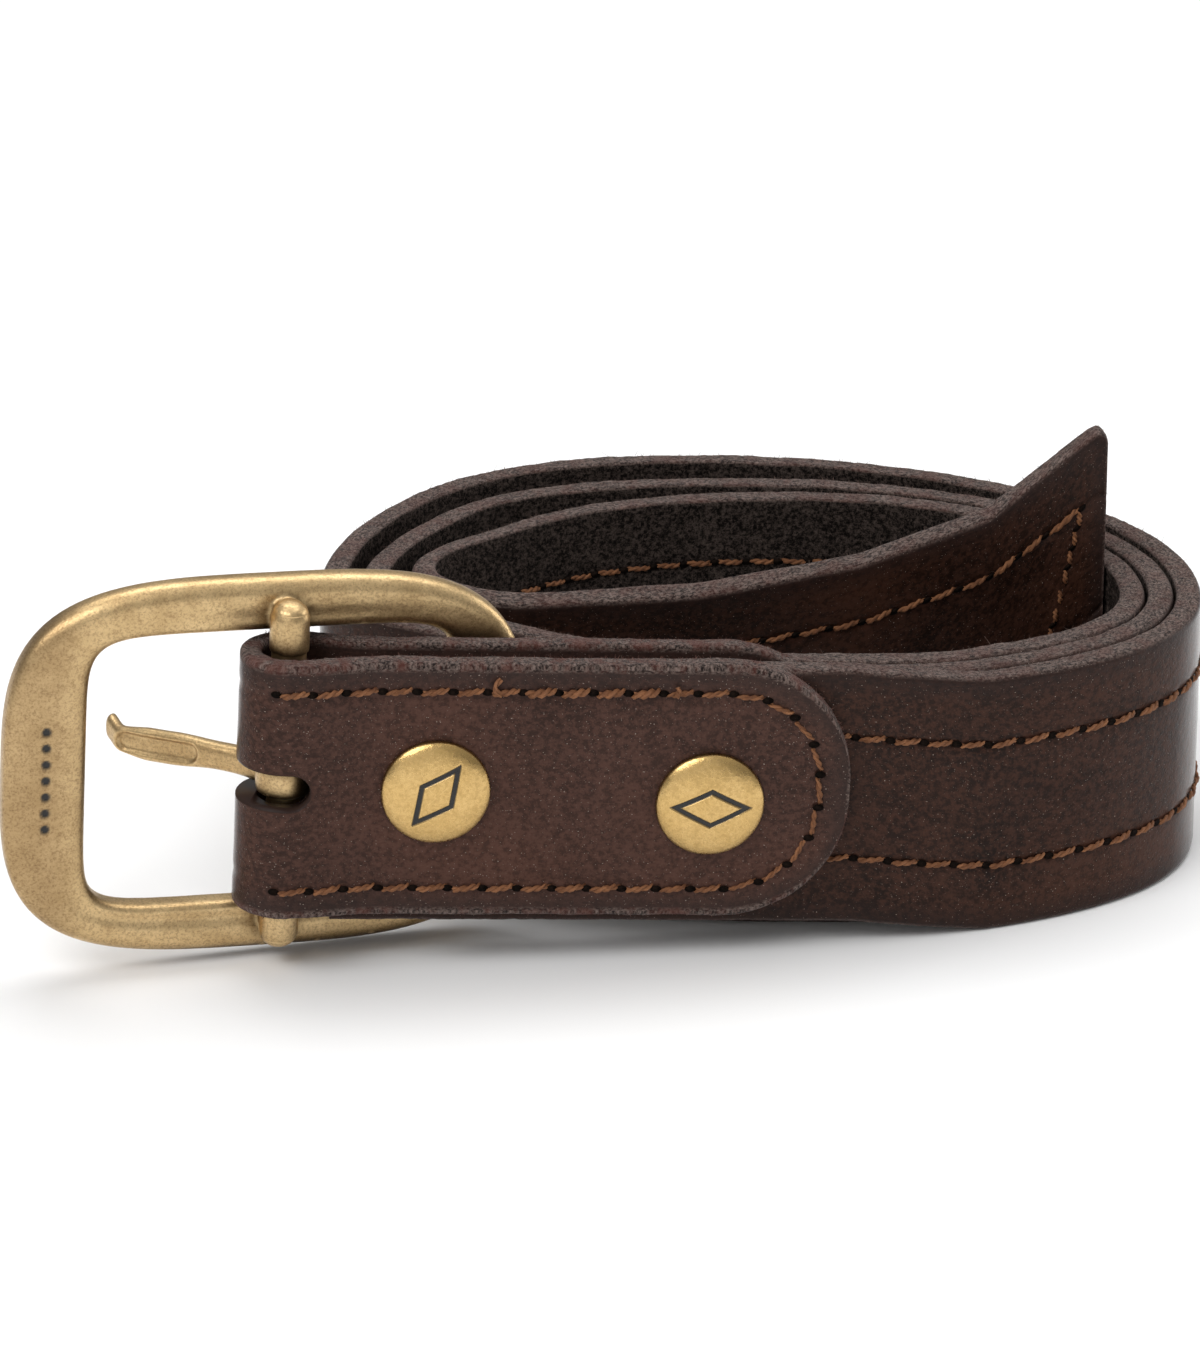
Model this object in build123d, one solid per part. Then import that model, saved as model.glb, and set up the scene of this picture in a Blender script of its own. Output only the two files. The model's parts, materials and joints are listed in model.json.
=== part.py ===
from build123d import *
import math
import os

# Leather belt, rolled up and standing on its edge, with a centre-bar brass buckle.
# Millimetres, +Z up.  Grain side of the strap faces out of the roll.

# strap
STRAP_WIDTH = 38.0
STRAP_THICK = 3.9
ROW_OFFSET = 9.1          # stitch rows above and below the middle of the strap
GROOVE_DEEP = 0.45        # the rows lie in shallow grooves, flush with the leather
GROOVE_TALL = 1.0
THREAD_TALL = 0.9
THREAD_DEEP = 0.41
HOLE_COUNT = 5            # adjustment holes for the prong
HOLE_DIAMETER = 4.4
HOLE_PITCH = 25.0
FIRST_HOLE = 88.0         # from the tip to the first hole

# The roll, followed along the middle of the strap from the buckle end to the tip.
# Each row: x, y, heading in degrees, lift of the bottom edge, lean of the top to the right.
STRAP_END_X = -37.4       # the strap lies flat in the tab from here
BEND_START_X = 35.0       # to here, and bends into the roll
STRAP_DROP = 2.2          # middle of the strap below the middle of the tab
COIL_START = (53.6, -27.80, 20.0, 0.0, 0.0)
COIL = [
    COIL_START,
    (77.6, -12.90, 50.0, 0.0, 0.0),
    (84.1, 6.00, 90.0, 0.0, 0.0),
    (14.0, 59.95, 180.0, 0.0, 0.0),
    (-24.0, 46.00, 229.0, 0.0, 0.0),
    (-38.4, 7.00, 270.0, 0.0, 0.0),
    (-14.0, -15.50, 326.0, 0.0, 0.0),
    (30.0, -25.50, 360.0, 0.0, 0.0),
    (52.2, -23.70, 380.0, 0.0, 0.0),
    (74.5, -10.20, 410.0, 0.0, 0.0),
    (80.1, 5.60, 450.0, 0.0, 0.0),
    (22.0, 49.80, 540.0, 0.0, 0.0),
    (-22.0, 35.20, 595.0, 0.0, 0.0),
    (-32.6, 8.00, 630.0, 0.0, 0.0),
    (-11.0, -10.60, 686.0, 0.0, 0.0),
    (30.0, -21.40, 720.0, 0.0, 0.0),
    (50.8, -19.80, 740.0, 0.0, 0.0),
    (71.4, -7.50, 770.0, 0.0, 0.0),
    (76.0, 5.20, 810.0, 0.0, 0.0),
]
TAIL = [
    (76.0, 5.20, 810.0, 0.0, 0.0),
    (29.0, 43.75, 900.0, 0.0, 0.0),
    (-13.2, 28.30, 948.0, 0.12, 3.0),
    (-22.6, 16.00, 978.0, 0.12, 8.0),
    (-11.5, 7.00, 1078.0, 0.0, 14.0),
    (14.0, 8.50, 1081.0, 1.5, 17.0),
    (37.0, 9.60, 1084.0, 5.0, 13.0),
    (55.0, 11.60, 1089.0, 10.5, 9.0),
    (72.4, 14.90, 1089.0, 22.0, 0.0),
]

# buckle tab: one piece of leather folded round the bar, its two ends over the strap end
TAB_THICK = 3.0
STRAP_PLAY = 0.1          # between the strap end and the tab
TAB_GAP = STRAP_THICK + STRAP_PLAY
TAB_WIDTH = 37.8
TAB_LENGTH = 77.4         # from the bar to the rounded ends
TAB_END_RADIUS = 17.0
TAB_YAW = 6.3             # from the x axis, to the back on the right
TAB_TILT = 3.0            # bar end higher
TAB_LEAN = 1.2            # top edge forward
BAR_X = -43.1
BAR_Y = -41.4
BAR_Z = 28.61
SLOT_WIDTH = 5.6
SLOT_LENGTH = 10.0        # from the outside of the fold
LOOP_RADIUS = 3.8         # inside the fold, loose on the bar
LOOP_TAPER = 13.0         # from the bar to where the tab lies flat

# stitching round the tab
TAB_ROW_MARGIN = 4.2
TAB_THREAD_WIDE = 0.9
TAB_THREAD_DEEP = 0.5

# bar, buckle frame and prong
BAR_DIAMETER = 4.8
RUNNING_GAP = 0.05
FRAME_LEFT = 38.3
FRAME_RIGHT = 35.0
FRAME_HEIGHT = 55.2
FRAME_THICK = 5.0
FRAME_CORNER = 19.0
SIDE_LEFT = 11.5
SIDE_RIGHT = 10.6
SIDE_TOP = 7.5
WINDOW_CORNER = 9.0
FRAME_EDGE = 1.2          # rounding of the frame's edges
FRAME_SETBACK = 2.5       # from the bar axis to the back face of the frame
FRAME_TURN = 15.5         # from the x axis, right side to the back
LUG_DIAMETER = 7.6
LUG_HEIGHT = 5.2
BAR_COVER = 1.0           # lug metal past each end of the bar
PRONG_LENGTH = 30.5
PRONG_WIDE = 4.4
PRONG_THICK = 3.0
PRONG_TIP_WIDE = 3.4
PRONG_TIP_LONG = 4.0
PRONG_EYE = 8.0
PRONG_TURN = 30.0         # from the x axis, swung behind the frame
PRONG_RECESS_DEEP = 0.5
PRONG_RECESS_WIDE = 1.6
PRONG_RECESS_LONG = 13.0
PRONG_RECESS_CORNER = 0.7

# screw studs through tab and strap
STUDS = ((20.3, 0.0), (58.1, -1.6))   # along and up from the bar
STUD_CAP = 15.0
STUD_DOME = 2.3
STUD_RIM = 0.7
STUD_BARREL = 5.0
STUD_HOLE = 5.2
SCREW_HEAD = 9.0
SCREW_HEAD_DEEP = 1.2
SCREW_RECESS = 0.7
SCREW_SHANK = 3.0
SCREW_SLOT = 0.9
SCREW_REACH = 0.8         # share of the barrel that the screw fills
SCREW_PLAY = 0.1          # round the screw head, in its seat

STEPS = 8                # points along each stretch of the roll
END_STEPS = 6            # and along each stretch of its two ends
BEND_FULLNESS = 1 / 16   # how much longer than its chord a bend runs, for each squared radian
SAME_PLANE = 0.01        # faces this close together meet

os.makedirs("parts", exist_ok=True)


def stretch(start, end, share):
    """One point between two stations: position, heading, lift and lean."""
    chord = math.hypot(end[0] - start[0], end[1] - start[1])
    turn = math.radians(end[2] - start[2])
    reach = chord * (1 + BEND_FULLNESS * turn ** 2)
    heads = [(math.cos(math.radians(s[2])), math.sin(math.radians(s[2]))) for s in (start, end)]
    t = share
    h00 = 2 * t ** 3 - 3 * t ** 2 + 1
    h10 = t ** 3 - 2 * t ** 2 + t
    h01 = 3 * t ** 2 - 2 * t ** 3
    h11 = t ** 3 - t ** 2
    d00 = 6 * t ** 2 - 6 * t
    d10 = 3 * t ** 2 - 4 * t + 1
    d11 = 3 * t ** 2 - 2 * t
    x, y = (h00 * start[i] + h10 * reach * heads[0][i] + h01 * end[i] + h11 * reach * heads[1][i]
            for i in (0, 1))
    dx, dy = (d00 * (start[i] - end[i]) + d10 * reach * heads[0][i] + d11 * reach * heads[1][i]
              for i in (0, 1))
    lift, lean = (start[i] + (end[i] - start[i]) * share for i in (3, 4))
    return x, y, math.atan2(dy, dx), lift, lean


def stations(rows, steps):
    """Points along a chain of stations, the shared ends given once."""
    points = [stretch(rows[0], rows[1], 0.0)]
    for start, end in zip(rows, rows[1:]):
        points += [stretch(start, end, k / steps) for k in range(1, steps + 1)]
    return points


def section_plane(point):
    """Plane across the strap: x to the outside of the roll, y up the width."""
    x, y, heading, lift, lean = point
    out = Vector(math.sin(heading), -math.cos(heading), 0)
    tip = math.radians(lean)
    up = Vector(0, 0, 1) * math.cos(tip) + out * math.sin(tip)
    across = out * math.cos(tip) - Vector(0, 0, 1) * math.sin(tip)
    middle = Vector(x, y, lift + STRAP_WIDTH / 2)
    return Plane(origin=middle, x_dir=across, z_dir=across.cross(up))


def grooved_outline():
    """Half-width corners of the strap section, with a groove for each row on each face."""
    face = STRAP_THICK / 2
    floor = face - GROOVE_DEEP
    side = [(face, -STRAP_WIDTH / 2)]
    for row in (-ROW_OFFSET, ROW_OFFSET):
        low, high = row - GROOVE_TALL / 2, row + GROOVE_TALL / 2
        side += [(face, low), (floor, low), (floor, high), (face, high)]
    side.append((face, STRAP_WIDTH / 2))
    return side + [(-u, v) for u, v in reversed(side)]


def swept(points, outline):
    """Band through the sections at each point."""
    return loft([section_plane(p) * make_face(Polyline(*outline, close=True)) for p in points])


def box_outline(u_low, u_high, v_low, v_high):
    return [(u_low, v_low), (u_high, v_low), (u_high, v_high), (u_low, v_high)]


# local frame of the tab: x along it from the bar, y up its width, z toward the front
tab_x = Vector(math.cos(math.radians(TAB_YAW)) * math.cos(math.radians(TAB_TILT)),
               math.sin(math.radians(TAB_YAW)) * math.cos(math.radians(TAB_TILT)),
               -math.sin(math.radians(TAB_TILT)))
flat_front = Vector(math.sin(math.radians(TAB_YAW)), -math.cos(math.radians(TAB_YAW)), 0)
square_up = flat_front.cross(tab_x)
lean = math.radians(TAB_LEAN)
tab_front = flat_front * math.cos(lean) - square_up * math.sin(lean)
TAB = Location(Plane(origin=(BAR_X, BAR_Y, BAR_Z), x_dir=tab_x, z_dir=tab_front))
bar_axis = tab_front.cross(tab_x)


def about_bar(degrees):
    """The tab frame turned about the bar."""
    return TAB * Rot(0, degrees, 0)


def in_tab(x):
    """Station on the middle plane of the tab, for the flat end of the strap."""
    rise = BAR_Z - math.tan(math.radians(TAB_TILT)) * (x - BAR_X) - STRAP_DROP
    y = BAR_Y - (tab_front.X * (x - BAR_X) + tab_front.Z * (rise - BAR_Z)) / tab_front.Y
    return x, y, TAB_YAW, rise - STRAP_WIDTH / 2, TAB_LEAN


flat_points = [in_tab(STRAP_END_X), in_tab(BEND_START_X)]
flat_points = [(x, y, math.radians(h), lift, lean) for x, y, h, lift, lean in flat_points]
bend_points = stations([in_tab(BEND_START_X), COIL_START], END_STEPS)
coil_points = stations(COIL, STEPS)
tail_points = stations(TAIL, END_STEPS)
HALF = STRAP_THICK / 2
MIDDLE = STRAP_WIDTH / 2


def buckle_end(outline):
    """The flat run inside the tab and the bend into the roll."""
    return swept(flat_points, outline) + swept(bend_points, outline)


def coil_faces(outline):
    """Sides of the band along the upright part of the roll, without its ends."""
    rims = {}
    for u, v in outline:
        rims[u, v] = Spline(*[(x + u * math.sin(h), y - u * math.cos(h), MIDDLE + v)
                              for x, y, h, lift, lean in coil_points])
    faces = []
    for start, end in zip(outline, outline[1:] + outline[:1]):
        ends = [Line(rims[start] @ k, rims[end] @ k) for k in (0, 1)]
        if start[0] == end[0]:
            faces.append(Face.extrude(rims[start].edge(), (0, 0, end[1] - start[1])))
        else:
            faces.append(make_face(Wire([rims[start], rims[end]] + ends)).face())
    return faces


def open_end(solid, plane):
    """Faces of a swept end piece, without the cap where it joins the coil."""
    return [f for f in solid.faces()
            if abs(plane.to_local_coords(f.center()).Z) > SAME_PLANE
            or abs(abs(f.normal_at().dot(plane.z_dir)) - 1) > SAME_PLANE]


def joined(outline, buckle_piece, tail_piece):
    """One closed solid from the coil and its two swept ends."""
    faces = coil_faces(outline)
    faces += open_end(buckle_piece, section_plane(coil_points[0]))
    faces += open_end(tail_piece, section_plane(coil_points[-1]))
    return Solid(Shell(faces))


def thread_row(row, side):
    """Flush thread along one face of the strap: side 1 is the grain, -1 the flesh."""
    near, far = sorted((side * (HALF - THREAD_DEEP), side * HALF))
    outline = box_outline(near, far, row - THREAD_TALL / 2, row + THREAD_TALL / 2)
    return joined(outline, buckle_end(outline), swept(tail_points, outline))


def strap_leather():
    """The strap, with the stud holes at one end and the prong holes at the other."""
    buckle_piece = buckle_end(grooved_outline())
    for x, y in STUDS:
        buckle_piece -= TAB * Pos(x, y, 0) * Cylinder(STUD_HOLE / 2, 4 * STRAP_THICK)
    tail_piece = swept(tail_points, grooved_outline())
    for k in range(HOLE_COUNT):
        place = along(tail_points, FIRST_HOLE + k * HOLE_PITCH)
        tail_piece -= Location(place) * Rot(0, 90, 0) * Cylinder(HOLE_DIAMETER / 2, 2 * STRAP_THICK)
    return joined(grooved_outline(), buckle_piece, tail_piece)


def along(points, distance_from_end):
    """Section plane a given distance back from the last point."""
    left = distance_from_end
    for here, before in zip(reversed(points), reversed(points[:-1])):
        step = math.hypot(here[0] - before[0], here[1] - before[1])
        if left <= step:
            share = left / step
            return section_plane([a + (b - a) * share for a, b in zip(here, before)])
        left -= step
    return section_plane(points[0])


def tab_plan(inset=0.0):
    """Outline of one end of the tab, drawn in from its edge."""
    half = TAB_WIDTH / 2 - inset
    end = TAB_LENGTH - inset
    radius = TAB_END_RADIUS - inset
    corner = end - radius
    slope = math.sqrt(0.5)
    sag = half - radius
    return [
        Line((0, -half), (corner, -half)),
        ThreePointArc((corner, -half), (corner + radius * slope, -sag - radius * slope), (end, -sag)),
        Line((end, -sag), (end, sag)),
        ThreePointArc((end, sag), (corner + radius * slope, sag + radius * slope), (corner, half)),
        Line((corner, half), (0, half)),
    ]


def bulged(radius, flat, reach, length):
    """Side profile that is round at the bar and narrows to a flat slab."""
    wedge = make_face(Polyline((0, -radius), (reach, -flat), (reach, flat), (0, radius), close=True))
    return Circle(radius) + wedge + Pos(length / 2, 0) * Rectangle(length, 2 * flat)


def tab_leather():
    """Folded leather, with the prong slot and the stud holes."""
    outer = LOOP_RADIUS + TAB_THICK
    slab = TAB_GAP / 2 + TAB_THICK
    upright = Plane.XZ.offset(-TAB_WIDTH / 2)
    profile = bulged(outer, slab, LOOP_TAPER, TAB_LENGTH)
    profile -= bulged(LOOP_RADIUS, TAB_GAP / 2, LOOP_TAPER / 2, TAB_LENGTH + 2)
    body = extrude(upright * profile, amount=TAB_WIDTH)
    body &= keep_block(outer, slab)
    slot = Pos(-outer, 0, 0) * Box(2 * SLOT_LENGTH, SLOT_WIDTH, 4 * slab)
    body -= slot
    for x, y in STUDS:
        body -= Pos(x, y, 0) * Cylinder(STUD_HOLE / 2, 4 * slab)
        body -= Pos(x, y, -slab + SCREW_RECESS / 2) * Cylinder(SCREW_HEAD / 2 + SCREW_PLAY, SCREW_RECESS)
    for row in tab_rows():
        body -= row
    return body


def keep_block(outer, slab):
    """Everything inside the rounded outline of the tab."""
    outline = tab_plan() + [Line((0, TAB_WIDTH / 2), (-outer - 1, TAB_WIDTH / 2)),
                            Line((-outer - 1, TAB_WIDTH / 2), (-outer - 1, -TAB_WIDTH / 2)),
                            Line((-outer - 1, -TAB_WIDTH / 2), (0, -TAB_WIDTH / 2))]
    return Pos(0, 0, -2 * slab) * extrude(make_face(Wire(outline)), amount=4 * slab)


def tab_rows():
    """Stitch rows on the front and back faces of the tab, sunk in the leather."""
    slab = TAB_GAP / 2 + TAB_THICK
    wide = TAB_THREAD_WIDE / 2
    rims = []
    for inset in (TAB_ROW_MARGIN - wide, TAB_ROW_MARGIN + wide):
        half = TAB_WIDTH / 2 - inset
        rims.append(make_face(Wire(tab_plan(inset) + [Line((0, half), (0, -half))])))
    start = Rectangle(2 * LOOP_TAPER, TAB_WIDTH)
    row = rims[0] - rims[1] - start
    return [Pos(0, 0, z) * extrude(row, amount=TAB_THREAD_DEEP) for z in (slab - TAB_THREAD_DEEP, -slab)]


def rounded_rectangle(left, right, height, radius):
    return Pos((right - left) / 2, 0) * RectangleRounded(left + right, height, radius)


def buckle_frame():
    """Cast frame with lugs for the bar, its back face toward the front of the tab."""
    outline = rounded_rectangle(FRAME_LEFT, FRAME_RIGHT, FRAME_HEIGHT, FRAME_CORNER)
    window = rounded_rectangle(FRAME_LEFT - SIDE_LEFT, FRAME_RIGHT - SIDE_RIGHT,
                               FRAME_HEIGHT - 2 * SIDE_TOP, WINDOW_CORNER)
    body = Pos(0, 0, -FRAME_SETBACK - FRAME_THICK) * extrude(outline - window, amount=FRAME_THICK)
    body = fillet(body.edges().filter_by(GeomType.LINE).filter_by(Plane.XY), FRAME_EDGE)
    reach = FRAME_HEIGHT / 2 - SIDE_TOP
    for side in (-1, 1):
        lug = Rot(90, 0, 0) * Cylinder(LUG_DIAMETER / 2, LUG_HEIGHT)
        root = Pos(0, 0, -FRAME_SETBACK / 2 - 1) * Box(LUG_DIAMETER, LUG_HEIGHT, FRAME_SETBACK + 2)
        body += Pos(0, side * (reach + LUG_HEIGHT / 2), 0) * (lug + root)
    return body - Rot(90, 0, 0) * Cylinder(BAR_DIAMETER / 2, 2 * bar_half())


def bar_half():
    return FRAME_HEIGHT / 2 - SIDE_TOP + LUG_HEIGHT - BAR_COVER


def prong():
    """Eye round the bar with a tapering shaft that points away from the tab."""
    eye = Rot(90, 0, 0) * Cylinder(PRONG_EYE / 2, PRONG_WIDE)
    taper_end = PRONG_TIP_LONG - PRONG_LENGTH
    plan = Polyline((0, -PRONG_WIDE / 2), (taper_end, -PRONG_TIP_WIDE / 2),
                    (-PRONG_LENGTH, -PRONG_TIP_WIDE / 3), (-PRONG_LENGTH, PRONG_TIP_WIDE / 3),
                    (taper_end, PRONG_TIP_WIDE / 2), (0, PRONG_WIDE / 2), close=True)
    shaft = Pos(0, 0, -PRONG_THICK / 2) * extrude(make_face(plan), amount=PRONG_THICK)
    body = eye + shaft
    recess = RectangleRounded(PRONG_RECESS_LONG, PRONG_RECESS_WIDE, PRONG_RECESS_CORNER)
    floor = PRONG_THICK / 2 - PRONG_RECESS_DEEP
    body -= Pos(PRONG_RECESS_LONG - PRONG_LENGTH, 0, floor) * extrude(recess, amount=PRONG_THICK)
    return body - Rot(90, 0, 0) * Cylinder(BAR_DIAMETER / 2 + RUNNING_GAP, 2 * PRONG_WIDE)


def stud_cap():
    """Domed head with a threaded barrel, its seat at z = 0."""
    radius = STUD_CAP / 2
    rise = STUD_DOME - STUD_RIM
    ball = (radius ** 2 + rise ** 2) / (2 * rise)
    dome = Pos(0, 0, STUD_DOME / 2) * Cylinder(radius, STUD_DOME) & Pos(0, 0, STUD_DOME - ball) * Sphere(ball)
    depth = TAB_GAP + 2 * TAB_THICK - SCREW_RECESS
    barrel = Pos(0, 0, -depth / 2) * Cylinder(STUD_BARREL / 2, depth)
    bore = Pos(0, 0, -depth / 2) * Cylinder(SCREW_SHANK / 2, depth)
    return dome + (barrel - bore)


def stud_screw():
    """Slotted screw from the far side, its head seated in the leather at z = 0."""
    depth = TAB_GAP + 2 * TAB_THICK - SCREW_RECESS
    head = Pos(0, 0, -SCREW_HEAD_DEEP / 2) * Cylinder(SCREW_HEAD / 2, SCREW_HEAD_DEEP)
    head -= Pos(0, 0, -SCREW_HEAD_DEEP) * Box(SCREW_HEAD + 2, SCREW_SLOT, SCREW_SLOT)
    reach = depth * SCREW_REACH
    shank = Pos(0, 0, reach / 2) * Cylinder(SCREW_SHANK / 2, reach)
    return head + shank


seat = TAB_GAP / 2 + TAB_THICK
nodes = {
    "strap": strap_leather(),
    "strap_thread_upper_grain": thread_row(ROW_OFFSET, 1),
    "strap_thread_upper_flesh": thread_row(ROW_OFFSET, -1),
    "strap_thread_lower_grain": thread_row(-ROW_OFFSET, 1),
    "strap_thread_lower_flesh": thread_row(-ROW_OFFSET, -1),
    "buckle_tab": TAB * tab_leather(),
    "tab_thread_front": TAB * tab_rows()[0],
    "tab_thread_back": TAB * tab_rows()[1],
    "buckle_frame": about_bar(FRAME_TURN - TAB_YAW) * buckle_frame(),
    "centre_bar": TAB * Rot(90, 0, 0) * Cylinder(BAR_DIAMETER / 2, 2 * bar_half()),
    "prong": about_bar(-PRONG_TURN - TAB_YAW) * prong(),
}
for k, (x, y) in enumerate(STUDS, 1):
    nodes[f"stud_cap_{k}"] = TAB * Pos(x, y, seat) * stud_cap()
    nodes[f"stud_screw_{k}"] = TAB * Pos(x, y, -seat + SCREW_RECESS) * stud_screw()

boxes = [shape.bounding_box() for shape in nodes.values()]
low = [min(axis) for axis in zip(*[tuple(box.min) for box in boxes])]
high = [max(axis) for axis in zip(*[tuple(box.max) for box in boxes])]
shift = Pos(-(low[0] + high[0]) / 2, -(low[1] + high[1]) / 2, -low[2])
for name, shape in nodes.items():
    export_step(shift * shape, f"parts/{name}.step")
print("low", low, "high", high)
print("bar axis", bar_axis, "bar middle", shift.position + Vector(BAR_X, BAR_Y, BAR_Z))
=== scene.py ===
import json
import math
import random

import bmesh
import bpy
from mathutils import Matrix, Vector, noise


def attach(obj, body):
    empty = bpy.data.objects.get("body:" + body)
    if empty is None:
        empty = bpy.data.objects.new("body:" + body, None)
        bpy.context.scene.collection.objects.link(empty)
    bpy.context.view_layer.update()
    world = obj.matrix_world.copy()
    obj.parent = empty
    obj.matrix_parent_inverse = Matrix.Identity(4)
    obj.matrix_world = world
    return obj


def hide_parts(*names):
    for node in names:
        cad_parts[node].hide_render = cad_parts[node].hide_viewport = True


# Looks for the rolled leather belt.  Lengths below are millimetres in the belt's own frame,
# and place() turns them into metres in the shared frame.

MM = 0.001
SEED = 7

# strap
STRAP_WIDTH = 38.0
STRAP_THICK = 3.7         # under the CAD strap's 3.9, so the uneven faces stay inside it
ROW_OFFSET = 9.1
HOLE_COUNT = 5
HOLE_DIAMETER = 4.4
HOLE_PITCH = 25.0
FIRST_HOLE = 88.0
TIP_CORNERS = (2.5, 3.0)  # rounding of the tip's lower and upper corners
RING_STEP = 0.8           # spacing of the strap's rings
STITCH_PITCH = 4.8
STITCH_SLANT = 0.42       # each end of a stitch off its row
TIP_STITCHES = 7          # in the slanted row across the tip
TIP_ROW = (4.6, 9.6)      # from the tip to the upper and lower ends of that row
LAST_STITCH = 2.5         # least length of the stitch that joins a long row to it
ROW_START = 68.0          # first stitch of the strap's rows, just under the tab's end
STITCH_RADIUS = 0.27      # size that a stitch's two plies are scaled from

# the roll: x, y, heading in degrees, lift of the bottom edge, lean of the top to the right
STRAP_END_X = -37.4
BEND_START_X = 35.0
STRAP_DROP = 2.2
ROLL = [
    (53.6, -27.80, 20.0, 0.0, 0.0),
    (77.6, -12.90, 50.0, 0.0, 0.0),
    (84.1, 6.00, 90.0, 0.0, 0.0),
    (14.0, 59.95, 180.0, 0.0, 0.0),
    (-24.0, 46.00, 229.0, 0.0, 0.0),
    (-38.4, 7.00, 270.0, 0.0, 0.0),
    (-14.0, -15.50, 326.0, 0.0, 0.0),
    (30.0, -25.50, 360.0, 0.0, 0.0),
    (52.2, -23.70, 380.0, 0.0, 0.0),
    (74.5, -10.20, 410.0, 0.0, 0.0),
    (80.1, 5.60, 450.0, 0.0, 0.0),
    (22.0, 49.80, 540.0, 0.0, 0.0),
    (-22.0, 35.20, 595.0, 0.0, 0.0),
    (-32.6, 8.00, 630.0, 0.0, 0.0),
    (-11.0, -10.60, 686.0, 0.0, 0.0),
    (30.0, -21.40, 720.0, 0.0, 0.0),
    (50.8, -19.80, 740.0, 0.0, 0.0),
    (71.4, -7.50, 770.0, 0.0, 0.0),
    (76.0, 5.20, 810.0, 0.0, 0.0),
    (29.0, 43.75, 900.0, 0.0, 0.0),
    (-13.2, 28.30, 948.0, 0.12, 3.0),
    (-22.6, 16.00, 978.0, 0.12, 8.0),
    (-11.5, 7.00, 1078.0, 0.0, 14.0),
    (14.0, 8.50, 1081.0, 1.5, 17.0),
    (37.0, 9.60, 1084.0, 5.0, 13.0),
    (55.0, 11.60, 1089.0, 10.5, 9.0),
    (72.4, 14.90, 1089.0, 22.0, 0.0),
]

# buckle tab
TAB_THICK = 2.9           # under the CAD tab's 3.0, as for the strap
TAB_LAYER = 3.5           # middle of each flat layer from the tab's middle plane
TAB_WIDTH = 37.6
TAB_LENGTH = 77.4
TAB_END_RADIUS = 17.0
TAB_YAW = 6.3
TAB_TILT = 3.0
TAB_LEAN = 1.2
BAR = Vector((-43.1, -41.4, 28.61))
FOLD_RADIUS = 5.2         # middle of the leather round the bar
FOLD_TAPER = 13.0
SLOT_WIDTH = 5.4
SLOT_END = 3.2
TAB_ROW = 4.2             # stitch row from the tab's edge
BACK_TACK = (31.6, 50.8)  # doubled stitches along the upper row

# buckle
FRAME_LEFT = 38.3
FRAME_RIGHT = 35.0
FRAME_HEIGHT = 55.2
FRAME_MIDDLE = -5.0       # middle of the frame's thickness from the bar
FRAME_THICK = 5.0
SIDE_LEFT = 11.5
SIDE_RIGHT = 10.6
SIDE_TOP = 7.5
FRAME_TURN = 15.5
PAINTED_REFLECTION_TINT = (0.72, 0.69, 0.68)   # painted dark reflection: tint that darkens the left side
PUNCH_PITCH = 2.4         # plain punch marks on the left side, this many each way from the middle
PUNCH_REACH = 3
PUNCH_RADIUS = 0.62
OUTER_POWER = 3.4         # squareness of the outline and of the window
WINDOW_POWER = 8.0
SECTION_POWER = 3.6
BAR_RADIUS = 2.4
PRONG_LENGTH = 30.5
PRONG_WIDE = 4.4
PRONG_TIP_WIDE = 3.2
PRONG_THICK = 3.0
PRONG_TURN = 30.0
PRONG_BEND = 0.7          # how far the shaft, then the tip, bend back
TIP_KICK = 2.0
PRONG_DROOP = 1.6         # how much lower the shaft ends than it starts
RECESS = (20.5, 5.2, 0.8)  # middle of the recess from the bar, half its straight length, depth
EYE_RADIUS = 4.0

# studs
STUDS = ((20.3, 0.0, 55.0), (58.1, -1.6, 0.0))   # along, up and the tilt of the lozenge
STUD_RADIUS = 7.5
STUD_DOME = 2.3
STUD_RIM = 0.7
TAB_FACE = 5.0
LOZENGE = (4.9, 2.5)
LINE_WIDTH = 0.36

# loose fibres and thread ends
STRAP_HAIRS = ((1, 9500), (-1, 2600))   # upper edge, lower edge
TIP_HAIRS = 420
TAB_HAIRS = 3600
TAB_END_HAIRS = 500
LOOSE_ENDS = ((28.6, -0.9, 2.4), (52.6, 0.2, 1.4))   # on the tab: place along, sideways lean, length

# camera
CAMERA_DISTANCE = 900.0
CAMERA_ELEVATION = 22.0
CAMERA_AIM = Vector((0.0, 0.0, 25.0))
LENS = 165.3

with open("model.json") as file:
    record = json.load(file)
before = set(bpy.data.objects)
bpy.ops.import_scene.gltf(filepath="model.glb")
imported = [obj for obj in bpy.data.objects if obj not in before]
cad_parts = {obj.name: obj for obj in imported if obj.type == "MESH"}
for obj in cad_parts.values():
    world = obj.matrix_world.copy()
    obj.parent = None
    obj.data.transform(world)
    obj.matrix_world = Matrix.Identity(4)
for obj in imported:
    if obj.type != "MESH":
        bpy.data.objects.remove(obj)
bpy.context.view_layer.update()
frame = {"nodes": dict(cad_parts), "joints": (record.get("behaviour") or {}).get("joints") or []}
scene = bpy.context.scene
hinge = next(joint for joint in frame["joints"] if joint["name"] == "buckle_swing")
SHIFT = Vector(hinge["pos_m"]) / MM - BAR
rng = random.Random(SEED)


def place(point):
    """Shared-frame metres of a point in the belt's own millimetres."""
    return (Vector(point) + SHIFT) * MM


def turned(degrees):
    return math.cos(math.radians(degrees)), math.sin(math.radians(degrees))


def smooth(low, high, value):
    """0 at low and 1 at high, smooth between and level past them; low may be the larger."""
    share = min(max((value - low) / (high - low), 0.0), 1.0)
    return share * share * (3 - 2 * share)


def rough(point, scale, seed=0.0):
    """Smooth noise from -1 to 1 that changes over 1 / scale millimetres."""
    return noise.noise(Vector(point) * scale + Vector((seed, 0.0, 0.0)))


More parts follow.
